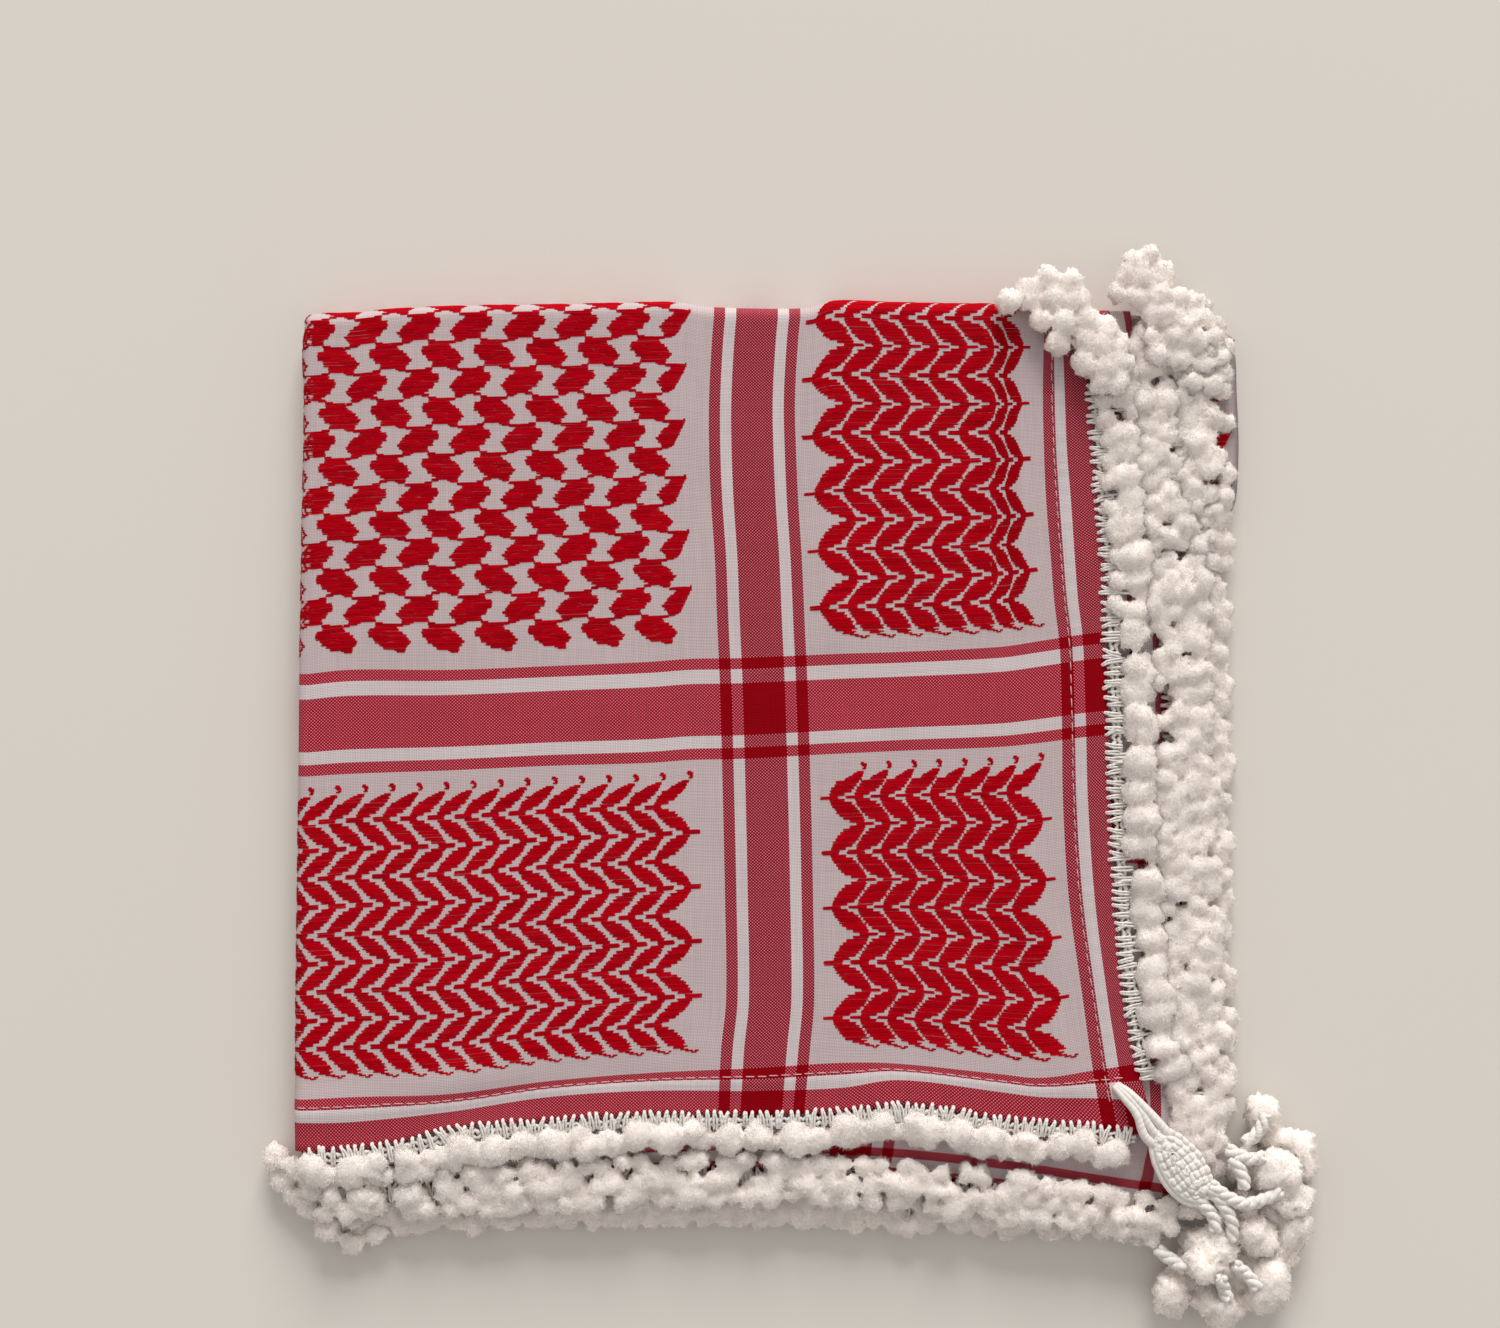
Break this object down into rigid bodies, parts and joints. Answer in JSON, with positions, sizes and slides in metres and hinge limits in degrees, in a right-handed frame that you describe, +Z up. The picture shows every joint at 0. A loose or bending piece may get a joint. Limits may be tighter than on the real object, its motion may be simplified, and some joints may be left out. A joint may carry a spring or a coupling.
{
  "type": "keffiyeh headscarf",
  "caption": "Square cotton headscarf in red and white weave, folded flat, with a white pompom fringe and a tasselled corner.",
  "frame": {"origin": "on the table under the folded cloth, near the middle of its flat underside", "axes": "+Z up from the table, +X towards the hemmed side edges, +Y towards the upper fold; the hemmed corners are at +X -Y"},
  "size_m": [0.3987, 0.4075, 0.0244],
  "materials": {
    "woven_cotton": "matte",
    "folded_cotton": "matte",
    "cotton_yarn": "matte"
  },
  "bodies": {
    "root": {"cloth_top": "woven_cotton", "cloth_second": "woven_cotton", "hidden_layers": "folded_cotton", "fringe_right_top": "cotton_yarn", "fringe_right_second": "cotton_yarn", "fringe_right_upper": "cotton_yarn", "fringe_right_floor": "cotton_yarn", "fringe_right_ledge": "cotton_yarn", "fringe_bottom_top": "cotton_yarn", "fringe_bottom_second": "cotton_yarn", "fringe_bottom_floor": "cotton_yarn", "fringe_top_turn_left": "cotton_yarn", "fringe_top_turn_upper": "cotton_yarn", "fringe_top_turn_lower": "cotton_yarn", "fringe_left_turn": "cotton_yarn", "corner_tab": "cotton_yarn", "corner_tassels_low": "cotton_yarn"}
  },
  "joints": []
}
